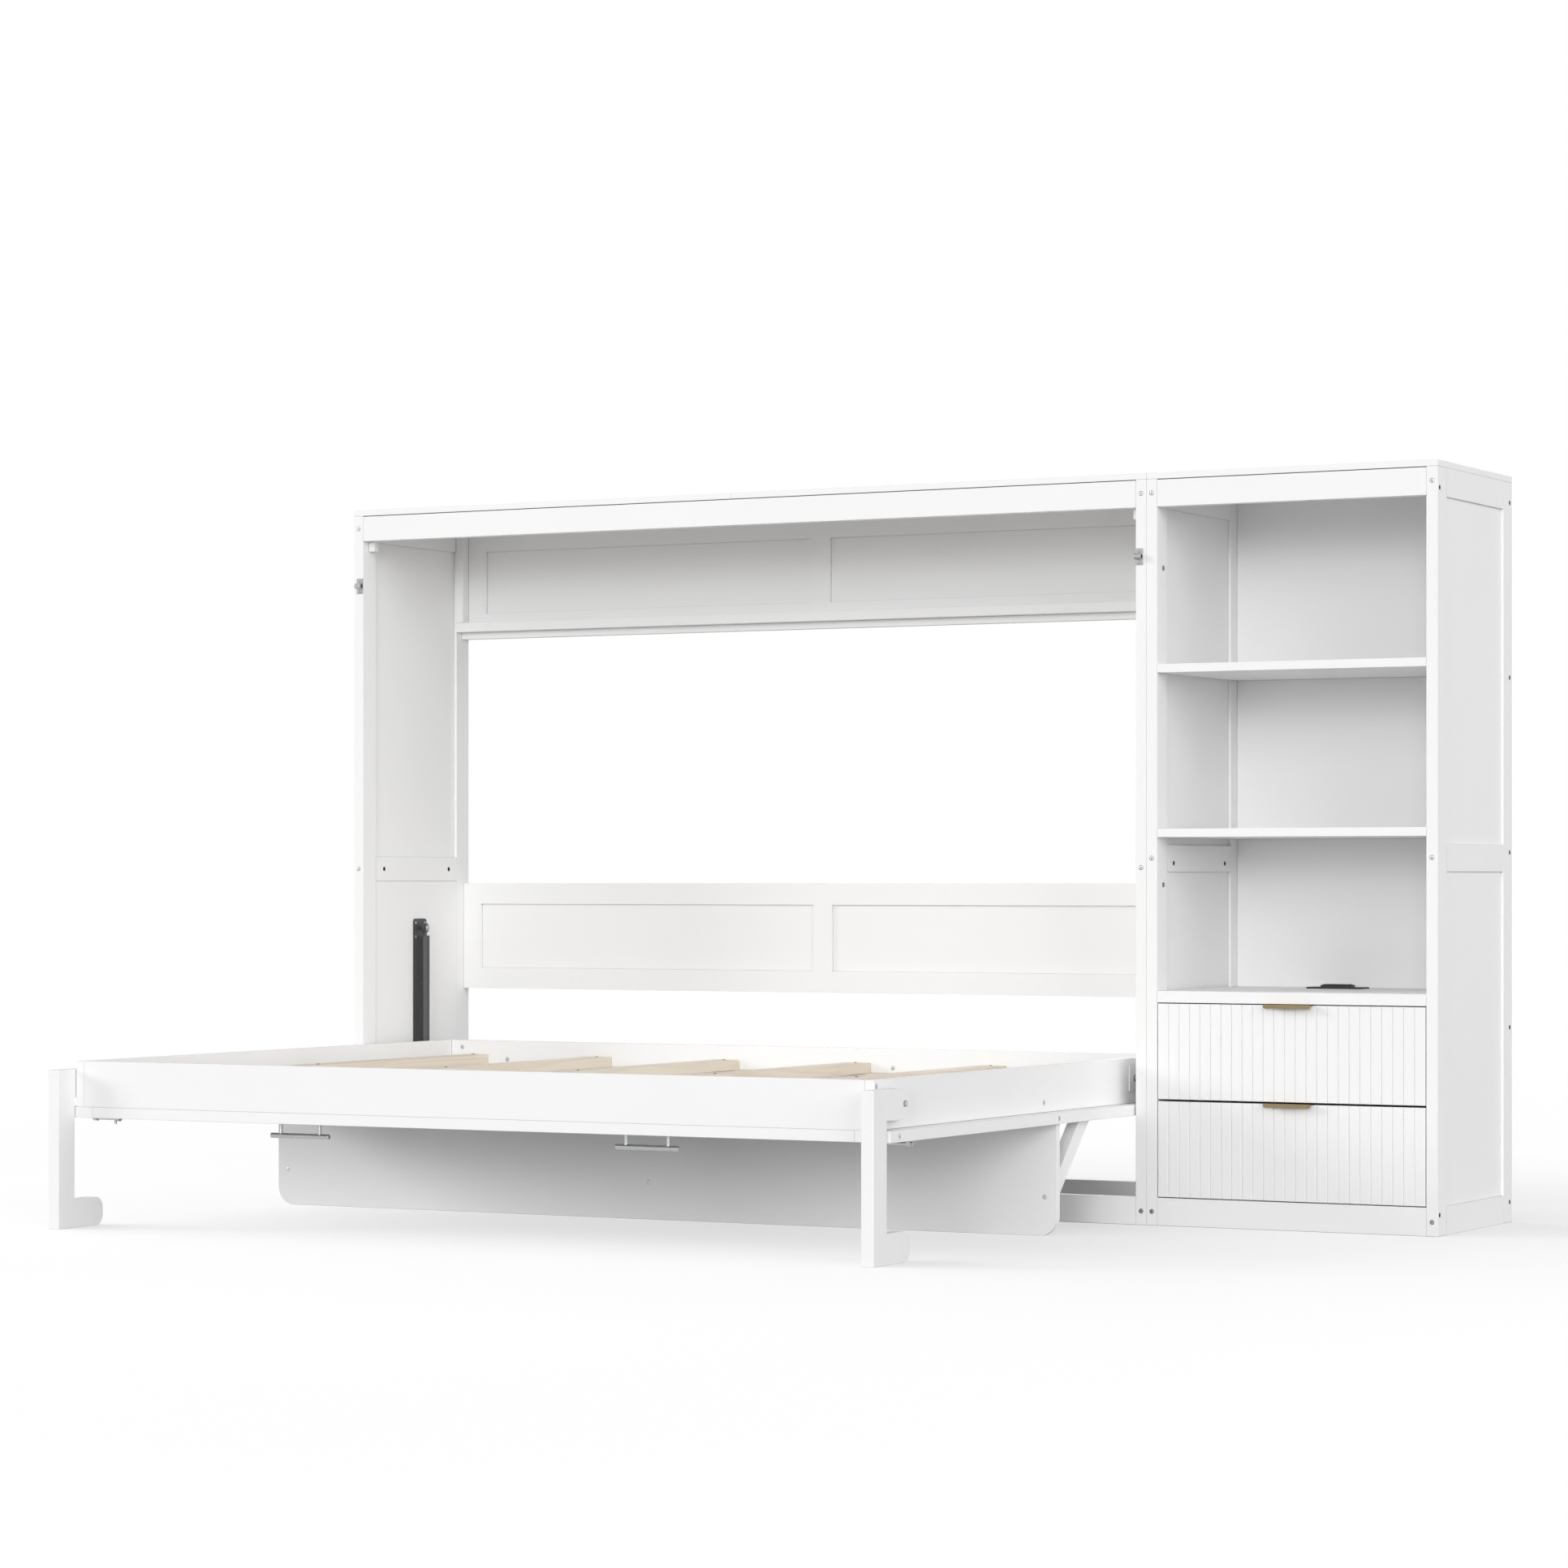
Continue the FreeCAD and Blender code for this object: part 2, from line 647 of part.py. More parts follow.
def outlet():
    x = case_x - outlet_offset
    y = back - outlet_from_back
    z = deck_top

    def block(length, width, low, high):
        return box((x - length / 2, y - width / 2, low), (x + length / 2, y + width / 2, high))

    def rounded(shape):
        upright = [edge for edge in shape.Edges if abs(edge.tangentAt(edge.FirstParameter).z) > 0]
        return shape.makeFillet(outlet_round, upright)

    flange = rounded(block(outlet_length, outlet_depth, z, z + outlet_flange))
    raised = rounded(block(outlet_block_length, outlet_block_depth, z, z + outlet_flange + outlet_rise))
    body = block(outlet_body_length, outlet_body_depth, z - outlet_body_height, z)
    add("power_outlet", flange.fuse(raised).fuse(body).removeSplitter())
    hole_length = outlet_body_length + bolt_clearance
    hole_depth = outlet_body_depth + bolt_clearance
    drill(["drawer_deck"], block(hole_length, hole_depth, deck_base - overrun, z))


def drawer(name, base, top):
    x0 = case_x - case_half + drawer_gap
    x1 = case_x + case_half - drawer_gap
    z0 = base + drawer_gap
    z1 = top - drawer_gap
    y1 = front + drawer_front_thickness
    face = board((x0, front, z0), (x1, y1, z1))
    pitch = (x1 - x0) / drawer_flutes
    for i in range(1, drawer_flutes):
        x = x0 + i * pitch
        groove = [(x - flute_width / 2, front, z0), (x + flute_width / 2, front, z0),
                  (x, front + flute_depth, z0)]
        face = face.cut(prism(groove, (0, 0, z1 - z0)))
    add(name + "_front", face)
    box_half = case_half - drawer_side_gap
    box_base = base + drawer_box_lift
    box_top = box_base + drawer_box_height
    y2 = y1 + drawer_box_depth
    tub = box((case_x - box_half, y1, box_base), (case_x + box_half, y2, box_top))
    tub = tub.cut(box((case_x - box_half + drawer_wall, y1 + drawer_wall, box_base + drawer_bottom),
                      (case_x + box_half - drawer_wall, y2 - drawer_wall, box_top + overrun)))
    add(name + "_box", tub)
    lip_base = z1 + pull_thickness - pull_lip
    lip_front = front - pull_reach
    lip_back = lip_front + pull_thickness
    plate_top = z1 + pull_thickness
    profile = [(front + pull_seat, z1), (front + pull_seat, plate_top), (lip_front, plate_top),
               (lip_front, lip_base), (lip_back, lip_base), (lip_back, z1)]
    pull_start = case_x - pull_length / 2
    pull = prism([(pull_start, y, z) for y, z in profile], (pull_length, 0, 0))
    tips = [(pull_start, lip_base), (pull_start + pull_length, lip_base)]
    add(name + "_pull", pull.makeFillet(pull_round, lengthwise_edges(pull, 1, tips)))
    ledge_top = box_base - free_clearance
    rails = []
    for side in (-1, 1):
        wall = case_x + side * case_half
        start = y1 + runner_setback
        end = y2
        web = box((min(wall, wall - side * runner_thickness), start, ledge_top - runner_thickness),
                  (max(wall, wall - side * runner_thickness), end, ledge_top + runner_height))
        ledge = box((min(wall, wall - side * runner_ledge), start, ledge_top - runner_thickness),
                    (max(wall, wall - side * runner_ledge), end, ledge_top))
        rails.append(web.fuse(ledge).removeSplitter())
    return rails


def frame_bolts():
    """Bolts through the posts into the rails, and screws through the outer sides."""
    bolts = []
    frames = [("left_side", left, bed_mid_rail_base),
              ("right_side", case_left - frame_thickness, bed_mid_rail_base),
              ("case_left", case_left, case_mid_rail_base),
              ("case_right", right - frame_thickness, case_mid_rail_base)]
    for name, x0, mid_base in frames:
        x = x0 + frame_thickness / 2
        pieces = [name + "_stiles", name + "_panel"]
        for z in (rail_height / 2, mid_base + mid_rail_height / 2, side_height - rail_height / 2):
            bolts.append(bolt((x, front, z), (0, 1, 0), stile_width + bolt_bite, pieces))
    low = side_screw_margin
    high = side_height - low
    step = (high - low) / (side_screw_rows - 1)
    case_rows = [low + i * step for i in range(side_screw_rows)]
    bay_rows = [low, headboard_base + headboard_height / 2, high]
    case_pieces = ["case_right_stiles", "case_fascia", "case_base_rail", "case_back_panel"]
    bay_pieces = ["left_side_stiles", "top_fascia", "base_rails", "headboard_panel", "upper_back_panel"]
    front_y = front + fascia_thickness / 2
    back_y = case_back_front + case_back_thickness / 2
    outsides = ((left, (1, 0, 0), bay_rows, bay_pieces), (right, (-1, 0, 0), case_rows, case_pieces))
    for x, inward, rows, pieces in outsides:
        places = [(front_y, low), (front_y, high)] + [(back_y, z) for z in rows]
        for y, z in places:
            bolts.append(bolt((x, y, z), inward, screw_bite, pieces))
    y0 = front + stile_width + mid_bolt_inset
    y1 = back - stile_width - mid_bolt_inset
    left_z = bed_mid_rail_base + mid_rail_height / 2
    join_z = (case_mid_rail_base + bed_mid_rail_base + mid_rail_height) / 2
    for y in (y0, y1):
        bolts.append(bolt((left + frame_thickness, y, left_z), (-1, 0, 0), short_bite, ["left_side_panel"]))
        joined = ["case_left_panel", "right_side_panel"]
        bolts.append(bolt((case_left + frame_thickness, y, join_z), (-1, 0, 0), screw_bite, joined))
    add("frame_bolts", *bolts)


def bed_bolts(leg_pins):
    bolts = list(leg_pins)
    inner_back = bed_back - bed_rail_thickness
    half = door_member_width / 2
    door_rows = (door_front + half, mid_line, door_back - half)
    door_z = stand_height + door_thickness / 2
    beam_z = (door_top + slat_base) / 2
    corner_z = rail_top - corner_bolt_drop
    front_y = door_front + bed_rail_thickness / 2
    back_y = bed_back - bed_rail_thickness / 2
    for side, rail in ((-1, "bed_left_rail"), (1, "bed_right_rail")):
        inward = (-side, 0, 0)
        edge = bed_x + side * door_half
        outer = bed_x + side * bed_half
        for y in door_rows:
            length = door_member_width + short_bite
            bolts.append(bolt((edge, y, door_z), inward, length, ["door_stiles", "door_rails"]))
        bolts.append(bolt((outer, mid_line, beam_z), inward, screw_bite, [rail, "center_beam"]))
        bolts.append(bolt((outer, front_y, corner_z), inward, screw_bite, [rail, "bed_front_rail"]))
        bolts.append(bolt((outer, back_y, corner_z), inward, screw_bite, [rail, "bed_back_rail"]))
        end_x = outer - side * (bed_rail_thickness + end_bolt_inset)
        end_place = (end_x, inner_back, rail_top - end_bolt_drop)
        bolts.append(bolt(end_place, (0, 1, 0), short_bite, ["bed_back_rail"]))
    pitch = 2 * bed_half * rail_bolt_share
    for i in range(rail_bolt_places):
        x = bed_x + pitch * (i - (rail_bolt_places - 1) / 2)
        place = (x, inner_back, rail_top - rail_bolt_drop)
        bolts.append(bolt(place, (0, 1, 0), short_bite, ["bed_back_rail"]))
    stand_z = brace_base + brace_rise / 2
    for offset in (-brace_offset, 0, brace_offset):
        place = (bed_x + offset, stand_front, stand_z)
        bolts.append(bolt(place, (0, 1, 0), bolt_bite, ["stand_panel", "stand_braces"]))
    add("bed_bolts", *bolts)


bed_bay()
bed_frame()
door()
stand()
pins = legs()
pivots()
struts()
latches()
handles()
bookcase()
outlet()
runners = drawer("upper_drawer", drawer_split, deck_base) + drawer("lower_drawer", rail_height, drawer_split)
add("drawer_runners", *runners)
frame_bolts()
bed_bolts(pins)

os.makedirs("parts", exist_ok=True)
for name, solids in parts.items():
    shape = solids[0] if len(solids) == 1 else Part.makeCompound(solids)
    shape.exportStep("parts/" + name + ".step")
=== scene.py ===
"""Finishes, small fittings and studio of a white fold-down wall bed with a bookcase."""
import json
import math

import bmesh
import bpy
from bpy.props import FloatProperty, FloatVectorProperty, PointerProperty
from bpy.types import Operator, Panel, PropertyGroup
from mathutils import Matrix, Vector

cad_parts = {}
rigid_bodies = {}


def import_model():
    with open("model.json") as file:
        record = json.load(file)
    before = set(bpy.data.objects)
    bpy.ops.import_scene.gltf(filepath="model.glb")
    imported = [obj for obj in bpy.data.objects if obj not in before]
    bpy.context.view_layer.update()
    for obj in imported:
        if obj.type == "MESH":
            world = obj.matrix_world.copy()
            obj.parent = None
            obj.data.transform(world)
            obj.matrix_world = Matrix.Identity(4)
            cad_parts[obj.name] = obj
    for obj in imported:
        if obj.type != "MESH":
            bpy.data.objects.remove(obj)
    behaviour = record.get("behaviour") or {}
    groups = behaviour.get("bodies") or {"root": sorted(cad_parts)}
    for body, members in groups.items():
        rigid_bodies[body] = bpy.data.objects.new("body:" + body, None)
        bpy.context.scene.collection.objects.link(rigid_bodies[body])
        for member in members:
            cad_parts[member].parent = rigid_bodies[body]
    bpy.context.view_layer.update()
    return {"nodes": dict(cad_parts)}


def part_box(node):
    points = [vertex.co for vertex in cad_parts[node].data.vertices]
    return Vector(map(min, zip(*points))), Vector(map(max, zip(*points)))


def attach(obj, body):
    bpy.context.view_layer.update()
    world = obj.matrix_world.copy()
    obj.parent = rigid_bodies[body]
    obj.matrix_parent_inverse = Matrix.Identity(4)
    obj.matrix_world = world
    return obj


bl_info = {
    "name": "Wall bed",
    "version": (1, 0, 0),
    "blender": (4, 5, 0),
    "location": "3D View > Sidebar > Wall bed",
    "description": "Finishes, screws, outlet and studio of a fold-down wall bed with a bookcase",
    "category": "Object",
}

for stray in list(bpy.data.objects):
    bpy.data.objects.remove(stray, do_unlink=True)
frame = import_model()

X, Y, Z = range(3)
FRONT, UP, DOWN = (0, -1, 0), (0, 0, 1), (0, 0, -1)
LEFTWARD, RIGHTWARD = (-1, 0, 0), (1, 0, 0)
BOTH_WAYS = (-1, 1)
WHITE, BLACK = (1, 1, 1, 1), (0, 0, 0, 1)

# sizes of the CAD solids that their boxes don't give, in metres
PLATE = 0.003
THIN_PLATE = 0.002
EYE_HALF = 0.004
EYE_REACH = 0.0043
SLATS = 6
SLAT_WIDTH = 0.066

# where screws and bolts sit on the pieces that carry them
SLAT_SCREW_INSET = 0.020
CROWN_SCREW_REACH = 0.0135
LATCH_SCREW_INSETS = (0.026, 0.052)
BRACKET_SCREW_REACH = 0.0215
BRACKET_TOP_INSETS = (0.011, 0.047)
BRACKET_FOOT_INSET = 0.014
BRACKET_MIDDLE_SCREW = (0.0065, 0.536)
CORNER_SCREW_INSET = 0.011
HINGE_SCREW_REACH = 0.045
JOINING_BOLT_DEPTH = 0.440
JOINING_BOLT_HEIGHTS = (1.534, 0.794)
JOINING_BOLT_RADIUS = 0.0062
JOINING_BOLT_THICKNESS = 0.0014

# the outlet's socket face, from its middle
OUTLET_FACE = (0.066, 0.031, 0.0016)
OUTLET_CORNER = 0.004
OUTLET_LIP = 0.0008
OUTLET_SINK = 0.0004
OUTLET_SOCKETS = (-0.0205, -0.0045)
OUTLET_BLADE, OUTLET_BLADE_REACH, OUTLET_BLADE_UP = (0.0016, 0.0062), 0.0032, 0.0022
OUTLET_EARTH, OUTLET_EARTH_UP = (0.0040, 0.0040), -0.0062
OUTLET_CHARGERS = {(0.0125, 0.0050): (0.0175, 0.0065), (0.0095, 0.0036): (0.0175, -0.0065)}
OUTLET_SLOT_FLOOR = 0.0004
OUTLET_SLOT_CUT = 0.004

# each lamp's width in degrees and the way it shines
LAMPS = {
    "key": (20.0, (0.85, 0.40, -0.30)),
    "front": (20.0, (-0.15, 0.95, -0.25)),
    "low": (14.0, (-0.30, 0.94, -0.12)),
    "right": (30.0, (-0.95, 0.15, -0.20)),
    "corner": (30.0, (-0.75, 0.60, -0.30)),
    "back": (30.0, (0.20, -0.96, -0.17)),
}
# the floor's glow takes a painted shadow where something stands this way from it
PAINTED_SHADOW_WAY = (-0.89, -0.42, -0.17)
FLOOR_WIDTH = 120.0
# the camera's film in millimetres, and how far it sees in metres
SENSOR_WIDTH = 36.0
SIGHT = 200.0

# edges up to this angle look round, and normals with this product look the same way
SMOOTH_ANGLE = math.radians(35.0)
SAME_WAY = 0.99


def colour(name, description, default):
    """A colour that a user may change."""
    return FloatVectorProperty(name=name, description=description, default=default,
                               subtype="COLOR", size=3, min=0.0, max=1.0)


def length(name, description, default):
    """A length that a user may change, in metres."""
    return FloatProperty(name=name, description=description, default=default,
                         unit="LENGTH", min=0.0, precision=5)


def share(name, description, default):
    """A number between none and all."""
    return FloatProperty(name=name, description=description, default=default,
                         subtype="FACTOR", min=0.0, max=1.0)


def plain(name, description, default):
    """A plain number that a user may change."""
    return FloatProperty(name=name, description=description, default=default)


class FinishSettings(PropertyGroup):
    """Colours and sheen of the boards and the hardware."""
    paint: colour("Paint", "Lacquer on the boards", (0.915, 0.915, 0.915))
    paint_shade: colour("Paint shade", "Lacquer where it lies thinner", (0.895, 0.895, 0.896))
    paint_roughness: share("Paint roughness", "How dull the lacquer is", 0.50)
    paint_gloss: share("Paint gloss", "How much the lacquer mirrors", 0.25)
    # painted shade: the lacquer darkens towards this grey where boards meet and in inner corners,
    # after ambient occlusion
    seam: colour("Seam", "Dust and shade where two boards meet", (0.30, 0.30, 0.30))
    seam_shade_reach: length("Seam reach", "How far a seam's shade spreads", 0.0022)
    pine: colour("Pine", "Early wood of the slats", (0.80, 0.72, 0.61))
    pine_ring: colour("Pine ring", "Late wood of the slats", (0.68, 0.57, 0.44))
    pine_roughness: share("Pine roughness", "How dull the bare wood is", 0.62)
    ring_spacing: length("Ring spacing", "Distance from one growth ring to the next", 0.0065)
    black_steel: colour("Black steel", "Powder coat of plates and strut tubes",
                        (0.045, 0.045, 0.047))
    bright_steel: colour("Bright steel", "Plating of handles, latches and strut rods",
                         (0.46, 0.465, 0.47))
    bolt_steel: colour("Bolt steel", "Zinc on bolts, screws and runners", (0.36, 0.365, 0.37))
    bolt_rim: colour("Bolt rim", "Bright zinc round the socket of a bolt", (0.70, 0.705, 0.71))
    black_bolt: colour("Black bolt", "Bolts of the posts and the outer sides",
                       (0.026, 0.026, 0.027))
    brass: colour("Brass", "Brushed metal of the drawer pulls", (0.30, 0.235, 0.14))
    black_plastic: colour("Black plastic", "Moulding of the outlet", (0.018, 0.018, 0.019))


class FittingSettings(PropertyGroup):
    """Sizes of the small fittings."""
    screw_radius: length("Screw radius", "Half the width of a screw head", 0.0042)
    screw_height: length("Screw height", "How far a screw head stands up", 0.0016)
    slat_screw_radius: length("Slat screw radius", "Half the width of a slat's screw head", 0.0038)
    rim_radius: length("Rim radius", "Half the width of a bolt's rim", 0.0047)
    rim_height: length("Rim height", "Thickness of a bolt's rim", 0.00026)
    # painted shade: post bolts below this height get the darker zinc rim, for the shade under the
    # bed
    rim_shade_floor: length("Rim floor", "Below this height a post's bolts have a plain zinc rim", 0.30)
    nut_radius: length("Nut radius", "Half the width of a strut's nut", 0.0085)
    nut_height: length("Nut height", "Thickness of a strut's nut", 0.006)


class StudioSettings(PropertyGroup):
    """Camera, lamps and background."""
    camera_place: FloatVectorProperty(name="Camera place", description="Where the camera stands",
                                      default=(4.9565, -9.1075, 0.805),
                                      subtype="TRANSLATION", size=3)
    camera_turn: FloatProperty(name="Camera turn",
                               description="How far the camera turns to the left",
                               default=math.radians(28.51), subtype="ANGLE")
    camera_lens: plain("Camera lens", "Focal length in millimetres", 102.03)
    camera_rise: plain("Camera rise", "Upward shift of the lens", 0.0613)
    floor: colour("Floor", "Floor as the eye sees it, before its glow", (0.35, 0.35, 0.35))
    floor_return: colour("Floor return", "Grey of the light that the floor throws back",
                         (0.60, 0.60, 0.60))
    floor_glow: plain("Floor glow", "White that only the eye sees on the floor", 0.76)
    # painted shadow: how much of the floor's glow the occlusion towards the key lamp takes away
    floor_painted_shadow: share("Floor shade", "How much of that white the object's shadow takes", 0.72)
    floor_painted_shadow_reach: length("Floor shade reach", "How far away a piece shades the floor", 2.5)
    sky_strength: plain("Sky strength", "Soft light from all round", 0.373)
    key_strength: plain("Key strength", "Sun from the left", 1.22)
    front_strength: plain("Front strength", "Soft light from the front", 0.44)
    low_strength: plain("Low strength", "Low light that reaches under the bed", 0.59)
    right_strength: plain("Right strength", "Soft light from the right", 0.70)
    corner_strength: plain("Corner strength", "Soft light on the right front corner", 0.63)
    back_strength: plain("Back strength", "Low light on the back", 0.80)


class Value:
    """A number that comes out of a shader node and takes part in sums."""

    def __init__(self, finish, socket):
        self.finish = finish
        self.socket = socket

    def __add__(self, other):
        return self.finish.maths("ADD", self, other)

    def __radd__(self, other):
        return self.finish.maths("ADD", other, self)

    def __sub__(self, other):
        return self.finish.maths("SUBTRACT", self, other)

    def __rsub__(self, other):
        return self.finish.maths("SUBTRACT", other, self)

    def __mul__(self, other):
        return self.finish.maths("MULTIPLY", self, other)

    def __rmul__(self, other):
        return self.finish.maths("MULTIPLY", other, self)

    def __pow__(self, other):
        return self.finish.maths("POWER", self, other)


class Finish:
    """A material or world in the making."""

    def __init__(self, owner):
        owner.use_nodes = True
        self.tree = owner.node_tree
        self.tree.nodes.clear()

    def feed(self, socket, given):
        """Lead a value to a socket, or set a number or colour on it."""
        if isinstance(given, Value):
            self.tree.links.new(given.socket, socket)
        else:
            socket.default_value = given

    def node(self, kind, settings, inputs, out=0):
        """Add a node: settings first, then values or links, and give back one output."""
        node = self.tree.nodes.new("ShaderNode" + kind)
        for key, setting in settings.items():
            setattr(node, key, setting)
        by_name = {socket.identifier: socket for socket in node.inputs if socket.enabled}
        by_name.update({socket.name: socket for socket in reversed(node.inputs) if socket.enabled})
        for key, given in inputs.items():
            self.feed(by_name[key], given)
        outputs = [socket for socket in node.outputs if socket.enabled]
        if isinstance(out, str):
            out = [socket.name for socket in outputs].index(out)
        return Value(self, outputs[out]) if outputs else None

    def maths(self, operation, first, second):
        """A Math node on two values or numbers."""
        node = self.tree.nodes.new("ShaderNodeMath")
        node.operation = operation
        for socket, given in zip(node.inputs, (first, second)):
            self.feed(socket, given)
        return Value(self, node.outputs[0])

    def place(self):
        """Where a point of the surface is, in the object's own metres."""
        return self.node("TexCoord", {}, {}, "Object")

    def drawn_out(self, place, along, drawn, closeness=1.0):
        """The same place, with what is painted on it drawn out along one axis."""
        scale = [closeness] * 3
        scale[along] = closeness * drawn
        return self.node("Mapping", {}, {"Vector": place, "Scale": scale})

    def noise(self, place, scale, detail=2.0, roughness=0.5):
        """Soft random values from 0 to 1."""
        sockets = {"Vector": place, "Scale": scale, "Detail": detail, "Roughness": roughness}
        return self.node("TexNoise", {}, sockets)

    def between(self, factor, first, second):
        """A colour between two colours."""
        sockets = {"Factor": factor, "A": first, "B": second}
        return self.node("Mix", {"data_type": "RGBA"}, sockets)

    def bump(self, height, strength, distance):
        """A surface whose light and shade follow a height."""
        sockets = {"Height": height, "Strength": strength, "Distance": distance}
        return self.node("Bump", {}, sockets)

    def openness(self, samples, **sockets):
        """1 where nothing stands near a point, and less where something does."""
        named = {key.title(): given for key, given in sockets.items()}
        return self.node("AmbientOcclusion", {"samples": samples}, named, "AO")

    def blend(self, factor, first, second):
        """A shader between two shaders."""
        sockets = {"Fac": factor, "Shader": first, "Shader_001": second}
        return self.node("MixShader", {}, sockets)

    def seen(self):
        """1 where the camera, a reflection or glass looks, and 0 for soft light."""
        camera, glossy, glass = [self.node("LightPath", {}, {}, "Is " + kind + " Ray")
                                 for kind in ("Camera", "Glossy", "Transmission")]
        return camera + glossy + glass

    def surface(self, **sockets):
        """Close the material with a Principled shader."""
        named = {key.replace("_", " ").title().replace("Ior", "IOR"): given
                 for key, given in sockets.items()}
        self.close(self.node("BsdfPrincipled", {}, named), "OutputMaterial")

    def close(self, shader, kind):
        """Lead a shader to the output."""
        self.node(kind, {}, {"Surface": shader})


def solid(tint):
    """A colour with full alpha."""
    return (*tint, 1.0)


def scaled(tint, times, more=0.0):
    """A colour made lighter or darker."""
    return [min(1.0, part * times + more) for part in tint]


def swing(noise, width):
    """A noise that swings about nothing."""
    return (noise - 0.5) * width


def new_finish(name):
    """A new material and the helper that fills it."""
    material = bpy.data.materials.new(name)
    return material, Finish(material)


def painted_board(name, along, finishes, seam_shade_share=1.0):
    """Satin lacquer over a board whose length runs along one axis, with painted shade in its seams.
    """
    material, finish = new_finish(name)
    place = finish.place()
    streak = finish.noise(finish.drawn_out(place, along, drawn=0.035), scale=210.0, detail=3.0)
    cloud = finish.noise(place, scale=3.1)
    peel = finish.noise(place, scale=620.0, detail=1.0)
    cloud_start, cloud_gain = 0.35, 1.4
    tone = (cloud - cloud_start) * cloud_gain + swing(streak, 0.5)
    tint = finish.between(tone, solid(finishes.paint), solid(finishes.paint_shade))
    # painted shade in seams and inner corners: darker where ambient occlusion finds something near
    open_sky = finish.openness(samples=8, distance=finishes.seam_shade_reach)
    seam_shade_start, seam_shade_gain = 0.86, 1.9
    painted_seam_shade = (seam_shade_start - open_sky) * seam_shade_gain * seam_shade_share
    tint = finish.between(painted_seam_shade, tint, solid(finishes.seam))
    dull = finishes.paint_roughness + swing(streak, 0.10) + swing(cloud, 0.06)
    height = peel * 0.5 + streak * 0.5
    finish.surface(base_color=tint, roughness=dull, specular_ior_level=finishes.paint_gloss,
                   normal=finish.bump(height, strength=0.10, distance=0.0005))
    return material


def bare_pine(name, along, finishes):
    """Planed softwood with growth rings along one axis, each slat from another plank."""
    material, finish = new_finish(name)
    place = finish.place()
    drawn_place = finish.drawn_out(place, along, drawn=0.045)
    wander = finish.noise(drawn_place, scale=14.0)
    across = Y if along == X else X
    apart = finish.node("SeparateXYZ", {}, {"Vector": place}, across)
    wander_width = 0.085
    ring = (apart + wander * wander_width) * (math.tau / finishes.ring_spacing)
    late = finish.node("Math", {"operation": "SINE"}, {"Value": ring}) * 0.5 + 0.5
    fibre = finish.noise(finish.drawn_out(place, along, drawn=0.045, closeness=3.0),
                         scale=420.0, detail=4.0, roughness=0.65)
    patch = finish.noise(drawn_place, scale=5.0, detail=1.0)
    late_sharpness, late_share = 2.2, 0.42
    tone = late ** late_sharpness * late_share + swing(fibre, 0.5) + swing(patch, 0.5)
    tint = finish.between(tone, solid(finishes.pine), solid(finishes.pine_ring))
    dull = finishes.pine_roughness + swing(fibre, 0.2) - late * 0.06
    finish.surface(base_color=tint, roughness=dull,
                   normal=finish.bump(fibre + late * 0.4, strength=0.25, distance=0.0004))
    return material


def brushed_metal(name, tint, roughness, along=X):
    """Metal with fine lines drawn along one axis."""
    material, finish = new_finish(name)
    place = finish.place()
    line = finish.noise(finish.drawn_out(place, along, drawn=0.02), scale=2600.0, detail=3.0)
    smudge = finish.noise(place, scale=38.0, detail=3.0)
    wear = finish.between(line * 0.6 + smudge * 0.4,
                          solid(scaled(tint, 0.88)), solid(scaled(tint, 1.12)))
    dull = roughness + swing(line, 0.16) + swing(smudge, 0.12)
    finish.surface(base_color=wear, metallic=1.0, roughness=dull,
                   normal=finish.bump(line, strength=0.12, distance=0.0002))
    return material


def speckled_coat(name, tint, roughness, grain):
    """Powder coat or moulded plastic with a fine even texture."""
    material, finish = new_finish(name)
    place = finish.place()
    speck = finish.noise(place, scale=grain)
    rub = finish.noise(place, scale=26.0, detail=3.0)
    wear = finish.between(rub * 0.7 + speck * 0.3, solid(tint), solid(scaled(tint, 1.5, 0.006)))
    dull = roughness + swing(rub, 0.16) + swing(speck, 0.1)
    finish.surface(base_color=wear, roughness=dull,
                   normal=finish.bump(speck, strength=0.3, distance=0.0002))
    return material


def pale_floor(studio):
    """A floor that the eye sees white, apart from the object's shadow: the lamps' real shadow on
    its dull part and a painted shadow in its glow.
    """
    material, finish = new_finish("pale_floor")
    grain = finish.noise(finish.place(), scale=0.7)
    looked_at, lighting = [
        finish.node("BsdfDiffuse", {}, {"Color": finish.between(
            grain, solid(tint), solid(scaled(tint, 0.99)))})
        for tint in (studio.floor, studio.floor_return)]
    # painted shadow: occlusion towards the key lamp darkens the white glow that only the eye sees
    to_light = finish.node("CombineXYZ", {}, dict(zip("XYZ", PAINTED_SHADOW_WAY)))
    clear = finish.openness(samples=16, distance=studio.floor_painted_shadow_reach, normal=to_light)
    tint = finish.between((1.0 - clear) * studio.floor_painted_shadow, WHITE, BLACK)
    glow = finish.node("Emission", {}, {"Color": tint, "Strength": studio.floor_glow})
    glowing = finish.node("AddShader", {}, {"Shader": looked_at, "Shader_001": glow})
    finish.close(finish.blend(finish.seen(), lighting, glowing), "OutputMaterial")
    return material


def start_fresh():
    """Select nothing."""
    bpy.ops.object.select_all(action="DESELECT")


def choose(*pieces):
    """Select these pieces, the last one active."""
    start_fresh()
    for piece in pieces:
        piece.select_set(True)
    bpy.context.view_layer.objects.active = pieces[-1]


def settle(piece):
    """Put a piece's place into its mesh."""
    choose(piece)
    bpy.ops.object.transform_apply(location=True, rotation=True, scale=True)


